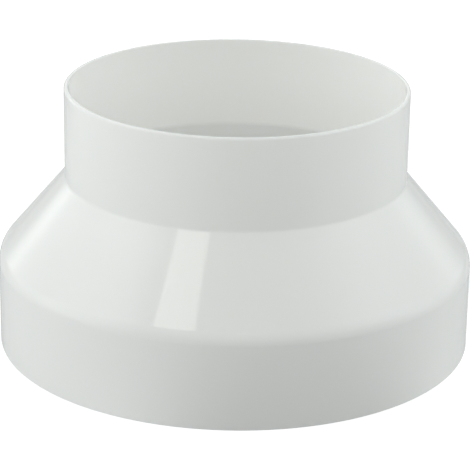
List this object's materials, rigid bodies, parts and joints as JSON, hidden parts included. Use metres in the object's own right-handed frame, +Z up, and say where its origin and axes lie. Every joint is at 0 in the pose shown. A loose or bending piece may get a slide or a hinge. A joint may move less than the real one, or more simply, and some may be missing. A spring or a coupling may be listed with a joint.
{
  "type": "duct reducer",
  "caption": "Round plastic duct reducer: a wide socket, a taper and a narrow spigot in one thin-walled piece.",
  "frame": {"origin": "middle of the open socket rim that the part stands on", "axes": "+Z up along the duct axis, from the wide socket to the narrow spigot; the part is round, so X and Y are free"},
  "size_m": [0.153, 0.153, 0.0845],
  "materials": {
    "white_plastic": "smooth moulded white plastic with a soft gloss"
  },
  "bodies": {
    "root": {"reducer_shell": "white_plastic"}
  },
  "joints": []
}
